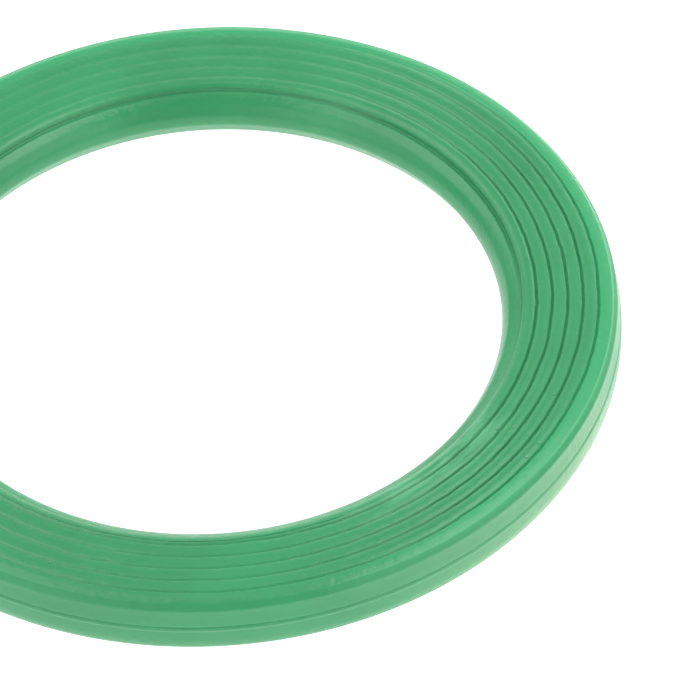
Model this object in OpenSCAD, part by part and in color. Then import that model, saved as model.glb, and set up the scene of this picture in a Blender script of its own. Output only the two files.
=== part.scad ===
// Seal ring for a blender's blade base, moulded in one piece from soft green rubber.
// A flat washer-like body has five fine ring grooves in its top face, a round lip
// (the bead) all the way round the inside of the hole, a band that falls off to a
// bevelled outer edge, and a mould parting line half way up the outer wall, where the
// lower half stands out a little past the upper half. The underside is plain.
// Everything is one revolved section. Millimetres, +Z up, origin at the middle of
// the hole on the plane the ring rests on.

/* [Ring] */
// Outside diameter, at the lower half of the outer wall
outer_d = 80.6; // [80.2:0.1:110]
// Height from underside to top face
ring_h = 6; // [5.6:0.1:8]
// Width of the outer edge's round at the underside
bottom_round_w = 0.7; // [0.3:0.05:1.6]
// Height of that round
bottom_round_h = 1.8; // [0.4:0.05:2.2]

/* [Outer edge at the top] */
// How far the band outside the grooves falls off towards the edge
shoulder = 0.3; // [0.1:0.01:0.4]
// Radius of the corner between that band and the bevel
corner_r = 0.25; // [0.1:0.01:0.35]
// Width of the bevel
bevel_w = 0.46; // [0.2:0.02:0.7]
// Height of the bevel's foot below the top face
bevel_h = 0.85; // [0.7:0.05:1.4]
// How far the upper wall leans in on its way up
draft = 0.22; // [0:0.01:0.3]

/* [Hole and bead] */
// Diameter of the hole's wall, above and below the bead
wall_d = 61.4; // [58:0.1:62.6]
// Small rounding where that wall meets the top face and the underside
wall_edge_r = 0.3; // [0.1:0.05:0.35]
// How far the bead stands in from the wall
bead_out = 2.1; // [1:0.05:3]
// Height of the bead's round upper flank, above its tip
bead_up = 2.1; // [0.8:0.05:2.2]
// Height of the bead's longer lower flank, below its tip
bead_down = 2.2; // [0.8:0.05:2.25]
// Height of the short straight band at the bead's tip, which grips the collar
bead_tip = 0.3; // [0.1:0.05:0.4]
// Height of that band's middle above the underside
bead_z = 2.8; // [2.75:0.05:3.2]

/* [Top grooves] */
// Number of ring grooves
groove_n = 5; // [1:1:5]
// Mean diameter of the innermost groove
groove_d1 = 64.12; // [63:0.02:64.36]
// Step in radius from one groove to the next
groove_pitch = 1.52; // [0.9:0.01:1.54]
// Width of a groove at the top face
groove_w = 0.42; // [0.2:0.02:0.7]
// Width of a groove at its bottom
groove_bottom_w = 0.12; // [0.06:0.02:0.18]
// Depth of a groove below the lips of the lands
groove_depth = 0.32; // [0.1:0.02:1]
// How far the middle of each land stands above its lips
land_crown = 0.08; // [0.02:0.01:0.2]

/* [Parting line] */
// Height of the parting line above the underside
part_z = 3.2; // [2.9:0.05:3.4]
// How far the lower half stands out past the foot of the upper half
part_step = 0.1; // [0.04:0.01:0.3]
// Height of the slanted ledge between the two
ledge_h = 0.4; // [0.04:0.02:0.5]
// Depth of the fine crease above the ledge
part_depth = 0.05; // [0.02:0.01:0.2]
// Height from the bottom of that crease up to the upper wall
part_w = 0.1; // [0.04:0.02:0.3]

/* [Look] */
// Colour of the rubber
rubber_colour = "mediumseagreen"; // [mediumseagreen, seagreen, darkseagreen]

/* [Hidden] */
$fn = 180;

Ro = outer_d / 2;            // outer wall of the lower half
Ru = Ro - part_step;         // foot of the upper half
Rt = Ru - draft;             // top of the upper wall, foot of the bevel
Rw = wall_d / 2;             // hole's wall
H = ring_h;
lip = H - land_crown;        // height of a land's lips
round_n = 10;                // straight steps in a quarter round
land_n = 6;                  // straight steps across a land
lip_run = 0.2;               // run from the innermost lip up to the flat beside the hole

// points of an elliptic arc in the section plane
function arc(c, a, b, a0, a1, n) =
    [for (i = [0 : n]) let (t = a0 + (a1 - a0) * i / n) [c[0] + a * cos(t), c[1] + b * sin(t)]];

// radius of groove i, counted from the hole
function groove_r(i) = groove_d1 / 2 + i * groove_pitch;

// a land's crowned top, from its outer lip to its inner lip, ends left out
function land(r_out, r_in) =
    [for (i = [1 : land_n - 1]) let (u = i / land_n)
        [r_out + (r_in - r_out) * u, lip + land_crown * (1 - pow(2 * u - 1, 2))]];

// a groove, from its outer lip to its inner lip
function groove(r) = [
    [r + groove_w / 2, lip], [r + groove_bottom_w / 2, lip - groove_depth],
    [r - groove_bottom_w / 2, lip - groove_depth], [r - groove_w / 2, lip]];

// top face from the outermost groove in to the flat sealing band beside the hole
function grooved_top() = concat([
    for (k = [0 : groove_n - 1])
        let (i = groove_n - 1 - k)
            for (p = concat(groove(groove_r(i)),
                    i > 0 ? land(groove_r(i) - groove_w / 2, groove_r(i - 1) + groove_w / 2) : []))
                p],
    [[groove_r(0) - groove_w / 2 - lip_run, H]]);

// round bead on the hole's wall, from its upper root down to its lower root
function bead() = concat(
    arc([Rw, bead_z + bead_tip / 2], bead_out, bead_up, 90, 180, 12),
    arc([Rw, bead_z - bead_tip / 2], bead_out, bead_down, 180, 270, 12));

// the whole section, anticlockwise from the underside's inner edge
function section() = concat(
    arc([Rw + wall_edge_r, wall_edge_r], wall_edge_r, wall_edge_r, 180, 270, 4),
    arc([Ro - bottom_round_w, bottom_round_h], bottom_round_w, bottom_round_h, -90, 0, round_n),
    [[Ro, part_z - ledge_h], [Ru - part_depth, part_z], [Ru, part_z + part_w], [Rt, H - bevel_h]],
    arc([Rt - bevel_w - corner_r * cos(45), H - shoulder - corner_r * sin(74)],
        corner_r, corner_r, 45, 74, 4),
    grooved_top(),
    arc([Rw + wall_edge_r, H - wall_edge_r], wall_edge_r, wall_edge_r, 90, 180, 4),
    bead());

// the moulded ring
module seal_ring() {
    color(rubber_colour)
        rotate_extrude($fn = 180)
            polygon(section());
}

seal_ring();
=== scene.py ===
import math

import bmesh
import bpy
import numpy as np
from mathutils import Matrix, Vector


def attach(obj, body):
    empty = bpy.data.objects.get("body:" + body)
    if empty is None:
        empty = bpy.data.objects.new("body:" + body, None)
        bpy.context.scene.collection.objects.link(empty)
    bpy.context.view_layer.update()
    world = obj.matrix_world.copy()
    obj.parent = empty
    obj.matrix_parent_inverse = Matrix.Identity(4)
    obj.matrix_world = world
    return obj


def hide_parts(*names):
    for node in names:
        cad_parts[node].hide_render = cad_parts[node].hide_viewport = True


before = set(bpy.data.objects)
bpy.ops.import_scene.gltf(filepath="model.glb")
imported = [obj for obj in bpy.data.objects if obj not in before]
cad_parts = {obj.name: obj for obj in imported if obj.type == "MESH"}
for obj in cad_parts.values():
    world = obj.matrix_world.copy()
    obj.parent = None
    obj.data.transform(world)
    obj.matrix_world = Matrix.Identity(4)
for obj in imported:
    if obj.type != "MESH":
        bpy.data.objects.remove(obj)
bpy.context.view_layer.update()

MM = 0.001

# ---------------------------------------------------------------- camera
# A long lens, 45 degrees above the ring, turned a little off the ring's middle so that
# the left side runs out of the frame.
ELEV = math.radians(45.44)
DIST = 782.05 * MM
TOP_Z = 6.0 * MM
YAW, PITCH, ROLL = math.radians(1.41151), math.radians(-45.84418), math.radians(-3.49)


def make_camera():
    fwd = Vector((math.sin(YAW) * math.cos(PITCH), math.cos(YAW) * math.cos(PITCH), math.sin(PITCH)))
    right = Vector((math.cos(YAW), -math.sin(YAW), 0.0))
    down = -right.cross(fwd)
    c, s = math.cos(ROLL), math.sin(ROLL)
    r2 = c * right - s * down
    d2 = s * right + c * down
    cam = bpy.data.cameras.new("camera")
    cam.sensor_width = 36.0
    cam.lens = 8000.0 / 700.0 * 36.0
    cam.clip_start, cam.clip_end = 0.05, 20.0
    ob = bpy.data.objects.new("camera", cam)
    bpy.context.collection.objects.link(ob)
    m = Matrix((
        (r2.x, -d2.x, -fwd.x, 0.0),
        (r2.y, -d2.y, -fwd.y, -DIST * math.cos(ELEV)),
        (r2.z, -d2.z, -fwd.z, DIST * math.sin(ELEV) + TOP_Z),
        (0.0, 0.0, 0.0, 1.0)))
    ob.matrix_world = m
    bpy.context.scene.camera = ob


make_camera()

# ---------------------------------------------------------------- the ring's section, in mm
RL, RU, RT = 40.3, 40.2, 39.98  # outer wall: lower half, foot and top of the upper half
RW = 30.7            # hole's wall
H = 6.0              # height
BEDGE_R, BEDGE_Z = 0.7, 1.8  # outer edge at the bottom
CORNER = (39.34, 5.46, 0.25)  # round between the bevel and the band outside the grooves
WEDGE_R, WEDGE_Z = 0.85, 0.40  # hole's top edge
G1, PITCH_R, GN = 32.06, 1.52, 5
CROWN = 0.085


def arc(cx, cz, a, b, t0, t1, n):
    t = np.radians(np.linspace(t0, t1, n + 1))
    return [(cx + a * math.cos(x), cz + b * math.sin(x)) for x in t]


def groove(r, gw, gd, inner):
    """Outer lip to inner lip, a soft round furrow."""
    x = np.linspace(1, -1, 13)
    return [(r + q * (gw / 2 if q > 0 else inner), H - CROWN - gd * (0.5 + 0.5 * math.cos(math.pi * q)) ** 1.2) for q in x]


def land(ro, ri, crown, n=8):
    out = []
    for i in range(1, n):
        u = i / n
        out.append((ro + (ri - ro) * u, H - CROWN + crown * (1 - (2 * u - 1) ** 2)))
    return out


def fall(p):
    """Let the last land fall off gently towards the outer edge."""
    return [(r, z - 0.03 * min(1.0, max(0.0, (r - 36.8) / 1.3)) ** 2) for r, z in p]


def section(gw, gd, crown, edge=WEDGE_R, outer=1.0, bend=2.0, crease=0.0, inner=None):
    inner = gw / 2 if inner is None else inner
    p = []
    p += arc(RW + 0.3, 0.3, 0.3, 0.3, 180, 270, 4)
    p += [(RW + 0.7, 0.0), (35.0, 0.0), (38.2, 0.0)]
    p += arc(RL - BEDGE_R, BEDGE_Z, BEDGE_R, BEDGE_Z, -90, 0, 16)
    p += [(RL, 2.1), (RL, 2.5), (RL - 0.004, 2.66), (RL - 0.014, 2.76), (RL - 0.035, 2.86), (RL - 0.06, 2.96),
          (RL - 0.095, 3.06), (RL - 0.125, 3.12), (RL - 0.148, 3.165), (RL - 0.155, 3.20), (RL - 0.145, 3.235),
          (RL - 0.12, 3.27), (RU - 0.003, 3.32), (RU - 0.012, 3.4), (RU - 0.044, 3.65), (RU - 0.11, 4.1),
          (RT + 0.022, 4.65), (RT + 0.012, 4.90), (RT, 5.04), (RT - 0.022, 5.13), (RT - 0.06, 5.20),
          (RT - 0.12, 5.275), (RT - 0.24, 5.40), (RT - 0.36, 5.52)]
    p += arc(CORNER[0], CORNER[1], CORNER[2], CORNER[2], 45, 74, 6)
    t = []
    r, z = G1 + (GN - 1) * PITCH_R + gw / 2, H - CROWN - 0.03
    for q in np.linspace(0, 1, 7)[1:]:
        u = 1 - q
        t.append((r + (39.409 - r) * u, z + (5.700 - z) * u ** bend))
    p += t[:-1]
    for k in range(GN):
        i = GN - 1 - k
        r = G1 + i * PITCH_R
        t = groove(r, gw, gd * (outer if k == 0 else 1.0), inner if i > 0 else min(inner, 0.37))
        if i > 0:
            t += land(r - inner, r - PITCH_R + gw / 2, crown)
        p += fall(t)
    r, w = G1 - min(inner, 0.37), H - CROWN + crown
    p += [(r - 0.05, w - 0.4 * crown), (r - 0.12, w - 0.06 * crown)]
    p += arc(RW + edge, w - WEDGE_Z, edge, WEDGE_Z, 92, 180, 12)
    # the bead inside the hole: a slanted upper flank, a round tip, a straighter lower flank
    p += [(RW, 5.55)]
    soft = [(30.69, 5.47), (30.668, 5.39), (30.63, 5.32), (30.58, 5.28), (30.52, 5.25), (30.45, 5.222), (30.38, 5.19),
            (30.29, 5.148), (30.18, 5.095)]
    sharp = [(30.70, 5.35), (30.695, 5.16), (30.675, 5.06), (30.63, 5.005), (30.56, 4.995), (30.47, 5.03),
             (30.38, 5.075), (30.29, 5.09), (30.18, 5.065)]
    p += [(a + (c - a) * crease, b + (d - b) * crease) for (a, b), (c, d) in zip(soft, sharp)]
    p += [(29.95, 4.955), (29.7, 4.815), (29.4, 4.61), (29.25, 4.45), (29.1, 4.24), (28.93, 3.96), (28.77, 3.64),
          (28.67, 3.33), (28.617, 3.03), (28.6, 2.8), (28.61, 2.60), (28.65, 2.43), (28.78, 2.18), (28.95, 1.86),
          (29.12, 1.54), (29.28, 1.23), (29.42, 0.98), (29.6, 0.81), (29.85, 0.66), (30.15, 0.55), (30.45, 0.49),
          (30.6, 0.46), (30.68, 0.4)]
    return np.array(p)


def smooth(x, a, b):
    t = np.clip((x - a) / (b - a), 0, 1)
    return t * t * (3 - 2 * t)


def wobble(th, seed, ks, amp):
    """A smooth closed curve of small random waves."""
    rng = np.random.default_rng(seed)
    out = np.zeros_like(th)
    for k in ks:
        out += rng.normal() * np.sin(k * th + rng.uniform(0, 2 * np.pi))
    return amp * out / math.sqrt(len(ks) / 2)


def build_ring():
    deep, mid = section(0.46, 0.27, CROWN, 1.0), section(0.42, 0.13, 0.07, 0.95)
    faint, sharp = section(1.2, 0.034, 0.002, outer=0.2, bend=1.35), section(0.46, 0.27, CROWN, 1.0, crease=1.0)
    near = section(0.22, 0.085, 0.02, 0.95, inner=0.40)
    keep = [0]
    for i in range(1, len(deep)):
        if np.hypot(*(deep[i] - deep[keep[-1]])) > 1e-4:
            keep.append(i)
    deep, mid, faint, sharp, near = deep[keep], mid[keep], faint[keep], sharp[keep], near[keep]
    n = len(deep)
    m = int(196000 / 2 / n)
    th = np.linspace(-np.pi, np.pi, m, endpoint=False)
    deg = np.degrees(th)
    # how deep the grooves are pressed, round the ring
    w = np.interp(deg, [-180, -140, -110, -88, -66, -50, 10, 34, 130, 165, 180],
                  [0.05, 0.05, 0.05, 0.10, 0.50, 0.9, 1.0, 0.0, 0.0, 0.0, 0.05])
    w2 = np.interp(deg, [10, 34, 48, 72], [0.0, 1.0, 0.6, 0.0])
    w3 = np.interp(deg, [-180, -88, -66, -50, -36, 135, 165, 180], [0.95, 0.90, 0.45, 0.1, 0.0, 0.0, 0.6, 0.95])
    sec = faint[None] + (deep - faint)[None] * w[:, None, None] + (mid - faint)[None] * w2[:, None, None]
    sec = sec + (near - faint)[None] * w3[:, None, None]
    # and how sharp the crease is above the bead
    cr = np.interp(deg, [-180, -150, -20, 0, 12, 22, 38, 50, 62, 85, 110, 150, 180],
                   [0.3, 0.1, 0.0, 0.25, 0.7, 0.85, 0.7, 0.5, 0.35, 0.25, 0.5, 0.5, 0.3])
    sec = sec + (sharp - deep)[None] * cr[:, None, None]
    r, z = sec[:, :, 0].copy(), sec[:, :, 1].copy()
    # each groove wanders a little
    g = [G1 + i * PITCH_R for i in range(GN)]
    dev = [wobble(th, 10 + i, range(5, 40), 0.022) + wobble(th, 60 + i, range(41, 130, 3), 0.012) for i in range(GN)]
    sink = [wobble(th, 80 + i, range(30, 120, 2), 0.03) * np.clip(w + w2, 0, 1) for i in range(GN)]
    top = smooth(z, H - 0.5, H - 0.3)
    for i in range(GN):
        by = np.clip(1 - np.abs(r - g[i]) / (PITCH_R * 0.5), 0, 1)
        r += dev[i][:, None] * smooth(by, 0, 0.6) * top
        z -= np.abs(sink[i])[:, None] * smooth(by, 0.8, 1.0) * top
    # the outer wall is a little out of round
    swell = 0.08 * np.exp(-((deg + 25) / 12) ** 2)
    r += swell[:, None] * smooth(r, 38.9, 39.6)
    # the parting line and its ledge are a little ragged
    rag = wobble(th, 40, range(30, 140, 3), 0.018)
    rag2 = wobble(th, 41, range(8, 60, 2), 0.02)
    part = np.exp(-((z - 3.16) / 0.13) ** 2) * smooth(r, 39.6, 39.9)
    z += rag2[:, None] * part
    r -= np.abs(rag)[:, None] * part
    v = np.stack([np.cos(th)[:, None] * r, np.sin(th)[:, None] * r, z], axis=-1).reshape(-1, 3) * MM
    i = np.arange(m)[:, None]
    j = np.arange(n)[None, :]
    i2, j2 = (i + 1) % m, (j + 1) % n
    f = np.stack([i * n + j, i2 * n + j, i2 * n + j2, i * n + j2], axis=-1).reshape(-1, 4)
    v, f = v.tolist(), f.tolist()
    # a few small nibs of rubber left on the top face
    for deg1, r1, size in ((-26.0, 36.2, 0.11), (-117.4, 36.8, 0.10), (-36.2, 31.6, 0.11), (-36.7, 33.2, 0.14),
                           (-35.0, 34.5, 0.12), (-39.3, 37.7, 0.14), (-35.9, 37.8, 0.11)):
        bm = bmesh.new()
        bmesh.ops.create_icosphere(bm, subdivisions=2, radius=size * MM)
        t = math.radians(deg1)
        at = Vector((r1 * math.cos(t), r1 * math.sin(t), 5.965)) * MM
        k = len(v)
        v += [(q.co.x + at.x, q.co.y + at.y, 0.6 * q.co.z + at.z) for q in bm.verts]
        f += [[k + q.index for q in fc.verts] for fc in bm.faces]
        bm.free()
    me = bpy.data.meshes.new("seal_ring_skin")
    me.from_pydata(v, [], f)
    me.polygons.foreach_set("use_smooth", [True] * len(me.polygons))
    me.update()
    me.validate()
    ob = bpy.data.objects.new("seal_ring_skin", me)
    bpy.context.collection.objects.link(ob)
    print("ring section points", n, "segments", m, "triangles", 2 * len(f))
    return ob


# ---------------------------------------------------------------- materials
def rubber():
    mat = bpy.data.materials.new("green_rubber")
    mat.use_nodes = True
    nt = mat.node_tree
    nd, lk = nt.nodes, nt.links
    nd.clear()
    out = nd.new("ShaderNodeOutputMaterial")
    bs = nd.new("ShaderNodeBsdfPrincipled")
    lk.new(bs.outputs["BSDF"], out.inputs["Surface"])
    bs.inputs["Roughness"].default_value = 0.28
    bs.inputs["IOR"].default_value = 1.5
    bs.inputs["Subsurface Weight"].default_value = 0.5
    bs.inputs["Subsurface Radius"].default_value = (0.4, 1.0, 0.6)
    bs.inputs["Subsurface Scale"].default_value = 0.0012
    tc = nd.new("ShaderNodeTexCoord")
    n1 = nd.new("ShaderNodeTexNoise")
    n1.inputs["Scale"].default_value = 90.0
    n1.inputs["Detail"].default_value = 4.0
    lk.new(tc.outputs["Object"], n1.inputs["Vector"])
    ramp = nd.new("ShaderNodeValToRGB")
    ramp.color_ramp.elements[0].position = 0.3
    ramp.color_ramp.elements[0].color = (0.033, 0.284, 0.109, 1)
    ramp.color_ramp.elements[1].position = 0.7
    ramp.color_ramp.elements[1].color = (0.042, 0.328, 0.131, 1)
    lk.new(n1.outputs["Fac"], ramp.inputs["Fac"])

    def span(val, a, b, inter="SMOOTHSTEP"):
        n = nd.new("ShaderNodeMapRange")
        n.interpolation_type = inter
        lk.new(val, n.inputs["Value"])
        n.inputs["From Min"].default_value, n.inputs["From Max"].default_value = a, b
        return n.outputs["Result"]

    def times(a, b):
        n = nd.new("ShaderNodeMath")
        n.operation = "MULTIPLY"
        lk.new(a, n.inputs[0])
        if isinstance(b, float):
            n.inputs[1].default_value = b
        else:
            lk.new(b, n.inputs[1])
        return n.outputs[0]

    def mix(fac, col, rgb):
        n = nd.new("ShaderNodeMix")
        n.data_type = "RGBA"
        lk.new(fac, n.inputs[0])
        lk.new(col, n.inputs[6])
        n.inputs[7].default_value = (*rgb, 1)
        return n.outputs[2]

    # painted light: the outer rim is lighter on its right and back, and a painted highlight runs along the wall just
    # below the line where the mould halves met
    flat = nd.new("ShaderNodeVectorMath")
    flat.operation = "MULTIPLY"
    flat.inputs[1].default_value = (1, 1, 0)
    lk.new(tc.outputs["Object"], flat.inputs[0])
    rad = nd.new("ShaderNodeVectorMath")
    rad.operation = "LENGTH"
    lk.new(flat.outputs[0], rad.inputs[0])
    sep = nd.new("ShaderNodeSeparateXYZ")
    lk.new(tc.outputs["Object"], sep.inputs[0])
    rr, zz = rad.outputs["Value"], sep.outputs[2]
    dot = nd.new("ShaderNodeVectorMath")
    dot.operation = "DOT_PRODUCT"
    dot.inputs[1].default_value = (0.8, 0.6, 0.0)
    lk.new(tc.outputs["Object"], dot.inputs[0])
    # painted light: the outer rim of the top face is lighter, over its right and back half only
    lit_rim = times(span(rr, 0.0374, 0.0386), span(zz, 0.0053, 0.0057))
    lit_rim = times(lit_rim, span(dot.outputs["Value"], -0.022, 0.004))
    col = mix(lit_rim, ramp.outputs["Color"], (0.047, 0.398, 0.160))
    # painted highlight: a pale band on the outer wall just below the parting line
    line = times(times(span(zz, 0.00262, 0.00272), span(zz, 0.00286, 0.00278)), span(rr, 0.0400, 0.04015))
    col = mix(line, col, (0.10, 0.38, 0.19))
    # painted highlight: a thin light line on the outer top corner, on the right side of the ring only
    corner_glint = times(times(span(rr, 0.03941, 0.03949), span(rr, 0.03963, 0.03956)), span(zz, 0.0050, 0.0053))
    col = mix(times(corner_glint, span(sep.outputs[0], 0.027, 0.034)), col, (0.10, 0.46, 0.215))
    # painted glint: the tips of the nibs, above the top face, are pale
    col = mix(span(zz, 0.006004, 0.006016), col, (0.22, 0.62, 0.36))
    toward = nd.new("ShaderNodeVectorMath")
    toward.operation = "DOT_PRODUCT"
    toward.inputs[1].default_value = (0.643, -0.766, 0.0)
    lk.new(tc.outputs["Object"], toward.inputs[0])
    ratio = nd.new("ShaderNodeMath")
    ratio.operation = "DIVIDE"
    lk.new(toward.outputs["Value"], ratio.inputs[0])
    lk.new(rr, ratio.inputs[1])
    # painted highlight: pale streaks that run along the innermost lands, on the front-right of the ring
    turn = nd.new("ShaderNodeMath")
    turn.operation = "ARCTAN2"
    lk.new(sep.outputs[1], turn.inputs[0])
    lk.new(sep.outputs[0], turn.inputs[1])
    short = nd.new("ShaderNodeMath")
    short.operation = "MULTIPLY"
    lk.new(turn.outputs[0], short.inputs[0])
    short.inputs[1].default_value = 0.004
    along = nd.new("ShaderNodeCombineXYZ")
    lk.new(short.outputs[0], along.inputs[0])
    lk.new(rr, along.inputs[1])
    n4 = nd.new("ShaderNodeTexNoise")
    n4.inputs["Scale"].default_value = 1700.0
    n4.inputs["Detail"].default_value = 3.0
    lk.new(along.outputs[0], n4.inputs["Vector"])
    land_streak_highlight = times(times(span(ratio.outputs[0], 0.94, 0.985), span(rr, 0.0352, 0.0322)), span(zz, 0.0052, 0.0056))
    land_streak_highlight = times(land_streak_highlight, span(n4.outputs["Fac"], 0.32, 0.62))
    col = mix(land_streak_highlight, col, (0.098, 0.42, 0.20))
    lk.new(col, bs.inputs["Base Color"])
    n2 = nd.new("ShaderNodeTexNoise")
    n2.inputs["Scale"].default_value = 2600.0
    n2.inputs["Detail"].default_value = 3.0
    lk.new(tc.outputs["Object"], n2.inputs["Vector"])
    bp = nd.new("ShaderNodeBump")
    bp.inputs["Strength"].default_value = 0.12
    bp.inputs["Distance"].default_value = 0.00006
    lk.new(n2.outputs["Fac"], bp.inputs["Height"])
    n3 = nd.new("ShaderNodeTexNoise")
    n3.inputs["Scale"].default_value = 1300.0
    n3.inputs["Detail"].default_value = 2.0
    lk.new(tc.outputs["Object"], n3.inputs["Vector"])
    bp2 = nd.new("ShaderNodeBump")
    bp2.inputs["Strength"].default_value = 1.0
    bp2.inputs["Distance"].default_value = 0.00005
    lk.new(n3.outputs["Fac"], bp2.inputs["Height"])
    lk.new(bp.outputs["Normal"], bp2.inputs["Normal"])
    lk.new(bp2.outputs["Normal"], bs.inputs["Normal"])
    return mat


def floor_mat():
    mat = bpy.data.materials.new("pale_floor")
    mat.use_nodes = True
    nt = mat.node_tree
    nd, lk = nt.nodes, nt.links
    nd.clear()
    out = nd.new("ShaderNodeOutputMaterial")
    df = nd.new("ShaderNodeBsdfDiffuse")
    df.inputs["Color"].default_value = (0.35, 0.35, 0.35, 1)
    em = nd.new("ShaderNodeEmission")
    em.inputs["Color"].default_value = (1, 1, 1, 1)
    # painted light: the table glows by emission, dimmer inside the ring and brighter and warmer on its right
    tc = nd.new("ShaderNodeTexCoord")
    ln = nd.new("ShaderNodeVectorMath")
    ln.operation = "LENGTH"
    lk.new(tc.outputs["Object"], ln.inputs[0])
    sp = nd.new("ShaderNodeSeparateXYZ")
    lk.new(tc.outputs["Object"], sp.inputs[0])
    ring_side = nd.new("ShaderNodeMapRange")
    ring_side.interpolation_type = "SMOOTHSTEP"
    for k, q in (("From Min", 0.026), ("From Max", 0.040), ("To Min", 1.1), ("To Max", 1.2)):
        ring_side.inputs[k].default_value = q
    lk.new(ln.outputs["Value"], ring_side.inputs["Value"])
    def span(val, a, b, lo=0.0, hi=1.0):
        n = nd.new("ShaderNodeMapRange")
        n.interpolation_type = "SMOOTHSTEP"
        for k, q in (("From Min", a), ("From Max", b), ("To Min", lo), ("To Max", hi)):
            n.inputs[k].default_value = q
        lk.new(val, n.inputs["Value"])
        return n.outputs["Result"]

    def math2(op, a, b):
        n = nd.new("ShaderNodeMath")
        n.operation = op
        lk.new(a, n.inputs[0])
        lk.new(b, n.inputs[1])
        return n.outputs[0]

    right = math2("MULTIPLY", span(sp.outputs[0], 0.005, 0.034, 0.0, 0.7), span(sp.outputs[1], -0.006, -0.018))
    total = math2("ADD", ring_side.outputs["Result"], right)
    total = math2("MULTIPLY", total, span(ln.outputs["Value"], 0.08, 0.35, 1.0, 0.7))
    lk.new(total, em.inputs["Strength"])
    warm = nd.new("ShaderNodeMix")
    warm.data_type = "RGBA"
    lk.new(span(right, 0.0, 0.7), warm.inputs[0])
    warm.inputs[6].default_value = (1, 1, 1, 1)
    warm.inputs[7].default_value = (1.12, 0.88, 0.92, 1)
    lk.new(warm.outputs[2], em.inputs["Color"])
    ad = nd.new("ShaderNodeAddShader")
    lk.new(df.outputs[0], ad.inputs[0])
    lk.new(em.outputs[0], ad.inputs[1])
    tr = nd.new("ShaderNodeBsdfTransparent")
    geo = nd.new("ShaderNodeNewGeometry")
    mx = nd.new("ShaderNodeMixShader")
    lk.new(geo.outputs["Backfacing"], mx.inputs[0])
    lk.new(ad.outputs[0], mx.inputs[1])
    lk.new(tr.outputs[0], mx.inputs[2])
    lk.new(mx.outputs[0], out.inputs["Surface"])
    return mat


# ---------------------------------------------------------------- light
def area(name, pos, target, size, size_y, energy):
    li = bpy.data.lights.new(name, "AREA")
    li.shape = "RECTANGLE"
    li.size, li.size_y = size, size_y
    li.energy = energy
    ob = bpy.data.objects.new(name, li)
    bpy.context.collection.objects.link(ob)
    ob.location = pos
    d = Vector(target) - Vector(pos)
    ob.rotation_mode = "QUATERNION"
    ob.rotation_quaternion = d.to_track_quat("-Z", "Y")
    ob.visible_camera = False
    return ob


def glow(name, strength):
    mat = bpy.data.materials.new(name)
    mat.use_nodes = True
    nt = mat.node_tree
    nt.nodes.clear()
    em = nt.nodes.new("ShaderNodeEmission")
    em.inputs["Color"].default_value = (1, 1, 1, 1)
    em.inputs["Strength"].default_value = strength
    nt.links.new(em.outputs[0], nt.nodes.new("ShaderNodeOutputMaterial").inputs["Surface"])
    return mat


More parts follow.
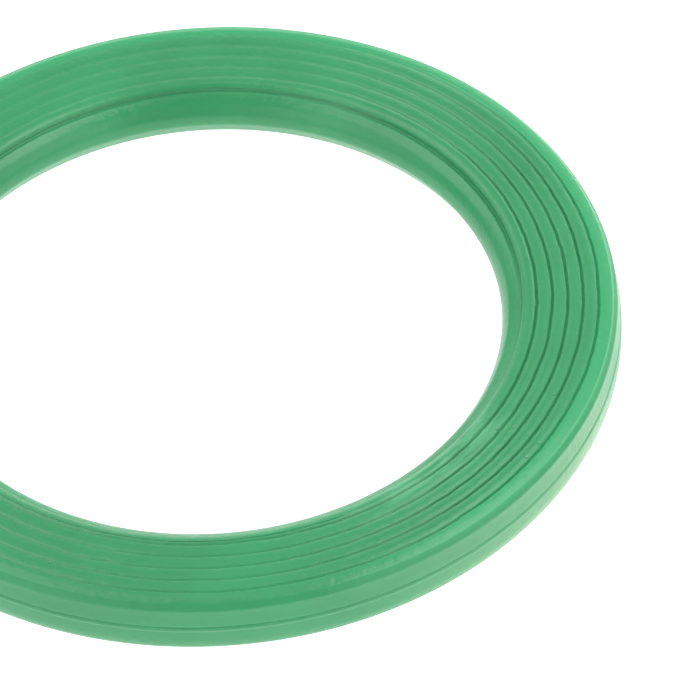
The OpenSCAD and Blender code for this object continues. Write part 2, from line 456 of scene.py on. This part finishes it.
def studio():
    me = bpy.data.meshes.new("floor")
    s = 8.0
    me.from_pydata([(-s, -s, 0), (s, -s, 0), (s, s, 0), (-s, s, 0)], [], [(0, 1, 2, 3)])
    fl = bpy.data.objects.new("floor", me)
    bpy.context.collection.objects.link(fl)
    me.materials.append(floor_mat())
    w = bpy.data.worlds.new("studio")
    bpy.context.scene.world = w
    w.use_nodes = True
    nt = w.node_tree
    nd, lk = nt.nodes, nt.links
    bg = nd["Background"]
    bg.inputs[1].default_value = 1.0

    def node(op, a, b=None):
        n = nd.new("ShaderNodeMath")
        n.operation = op
        for i, q in enumerate((a, b)):
            if q is None:
                continue
            if isinstance(q, (int, float)):
                n.inputs[i].default_value = q
            else:
                lk.new(q, n.inputs[i])
        return n.outputs[0]

    def step(x, a, b):
        n = nd.new("ShaderNodeMapRange")
        n.interpolation_type = "SMOOTHSTEP"
        lk.new(x, n.inputs["Value"])
        n.inputs["From Min"].default_value, n.inputs["From Max"].default_value = a, b
        return n.outputs["Result"]

    tc = nd.new("ShaderNodeTexCoord")
    sep = nd.new("ShaderNodeSeparateXYZ")
    lk.new(tc.outputs["Generated"], sep.inputs[0])
    x, y, z = sep.outputs
    back = step(y, -0.1, 0.45)
    low = step(z, 0.66, 0.45)
    up = step(z, 0.02, 0.10)
    right = node("MULTIPLY", step(x, 0.25, 0.55), step(y, -0.75, -0.35))
    front = node("MULTIPLY", step(node("ABSOLUTE", x), 0.28, 0.55), step(y, 0.15, -0.25))
    left = step(x, -0.30, -0.50)
    v = node("ADD", node("MULTIPLY", low, 0.7), node("MULTIPLY", step(z, 0.92, 0.80), 0.28))
    v = node("ADD", v, node("MULTIPLY", step(z, 0.46, 0.30), 0.8))
    v = node("MULTIPLY", node("MULTIPLY", back, v), node("SUBTRACT", 1.0, node("MULTIPLY", left, 0.8)))
    v = node("ADD", v, 0.14)
    v = node("ADD", v, node("MULTIPLY", step(y, -0.42, -0.62), 0.32))
    v = node("ADD", v, node("MULTIPLY", node("MULTIPLY", right, low), 0.25))
    v = node("ADD", v, node("MULTIPLY", front, 1.1))
    far_right = node("MULTIPLY", step(x, 0.66, 0.82), step(y, -0.30, -0.10))
    v = node("MULTIPLY", v, node("SUBTRACT", 1.0, node("MULTIPLY", far_right, 0.2)))
    v = node("MULTIPLY", v, up)
    lk.new(v, bg.inputs[0])
    area("softbox_left", (-0.50, 0.28, 0.80), (0, 0, 0), 0.82, 0.82, 4.4)
    # a soft panel over the ring's right side
    me = bpy.data.meshes.new("panel_right")
    me.from_pydata([(0.162, 0.64, 0.9), (0.765, 0.264, 0.9), (0.72, -0.40, 0.9), (0.162, -0.045, 0.9)], [],
                   [(0, 1, 2, 3)])
    pn = bpy.data.objects.new("panel_right", me)
    bpy.context.collection.objects.link(pn)
    me.materials.append(glow("panel_glow", 3.7))
    pn.visible_camera = False
    # a plain pale backdrop, seen by the camera only
    me = bpy.data.meshes.new("backdrop")
    bm = bmesh.new()
    bmesh.ops.create_uvsphere(bm, u_segments=48, v_segments=24, radius=9.0)
    bmesh.ops.reverse_faces(bm, faces=bm.faces)
    bm.to_mesh(me)
    bm.free()
    bd = bpy.data.objects.new("backdrop", me)
    bpy.context.collection.objects.link(bd)
    me.materials.append(glow("pale_backdrop", 1.0))
    bd.visible_diffuse = bd.visible_glossy = bd.visible_transmission = bd.visible_shadow = False
    sc = bpy.context.scene
    sc.view_settings.view_transform = "Standard"
    sc.view_settings.look = "None"
    sc.view_settings.exposure = 0.0
    sc.view_settings.gamma = 1.0


ring = build_ring()
ring.data.materials.append(rubber())
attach(ring, "root")
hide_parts("seal_ring")
studio()

bpy.context.view_layer.update()
